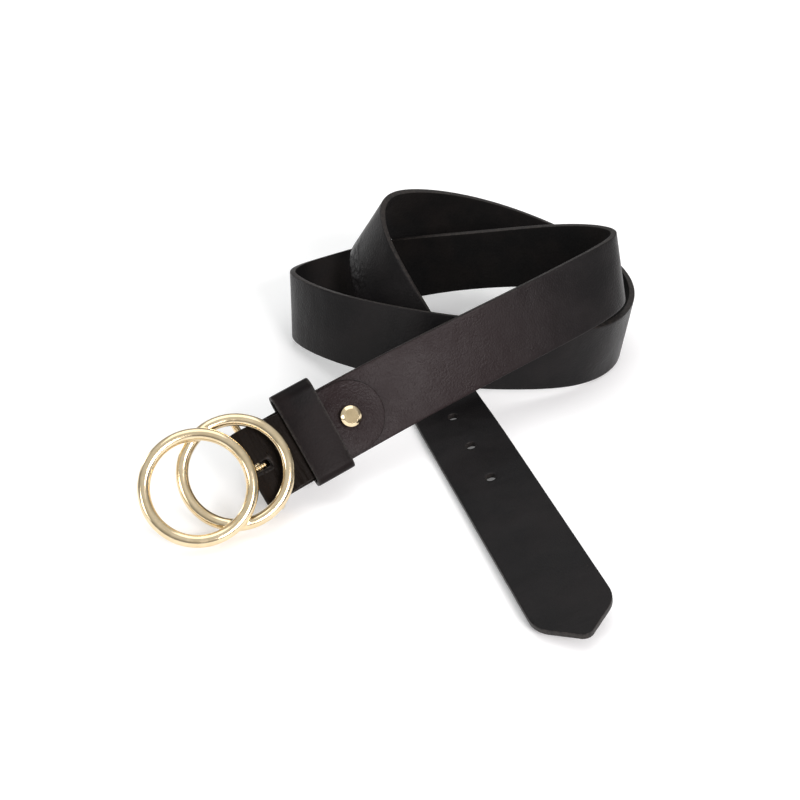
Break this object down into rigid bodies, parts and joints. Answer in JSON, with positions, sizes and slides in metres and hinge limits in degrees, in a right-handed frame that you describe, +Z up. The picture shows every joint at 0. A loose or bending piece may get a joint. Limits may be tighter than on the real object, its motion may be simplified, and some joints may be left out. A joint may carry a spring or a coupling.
{
  "type": "double ring belt",
  "caption": "Black leather strap belt, loosely coiled on its edge, with a double-ring metal buckle, prong, keeper loop, stud and pointed punched tail.",
  "frame": {"origin": "middle of the belt's footprint, on the surface that it rests on", "axes": "+Z up; the tail points towards -Y and the buckle towards -X; the coil lies towards +Y"},
  "size_m": [0.2114, 0.2562, 0.0681],
  "materials": {
    "leather_strap": "satin, fine grain",
    "leather_keeper": "satin, fine grain",
    "gold_stud": "polished",
    "gold_rings": "polished pale gold plating",
    "gold_prong": "polished"
  },
  "bodies": {
    "belt": {"strap": "leather_strap", "keeper": "leather_keeper", "stud": "gold_stud"},
    "buckle": {"double_ring_frame": "gold_rings"},
    "prong": {"prong": "gold_prong"}
  },
  "joints": [
    {"name": "buckle_swing", "type": "hinge", "parent": "belt", "child": "buckle", "pos_m": [-0.06135, -0.04592, 0.01747], "axis": [0.5074, -0.5429, -0.6692], "range_deg": [-3, 45]},
    {"name": "prong_swing", "type": "hinge", "parent": "buckle", "child": "prong", "pos_m": [-0.06135, -0.04592, 0.01747], "axis": [0.5074, -0.5429, -0.6692], "range_deg": [-8, 25]}
  ]
}
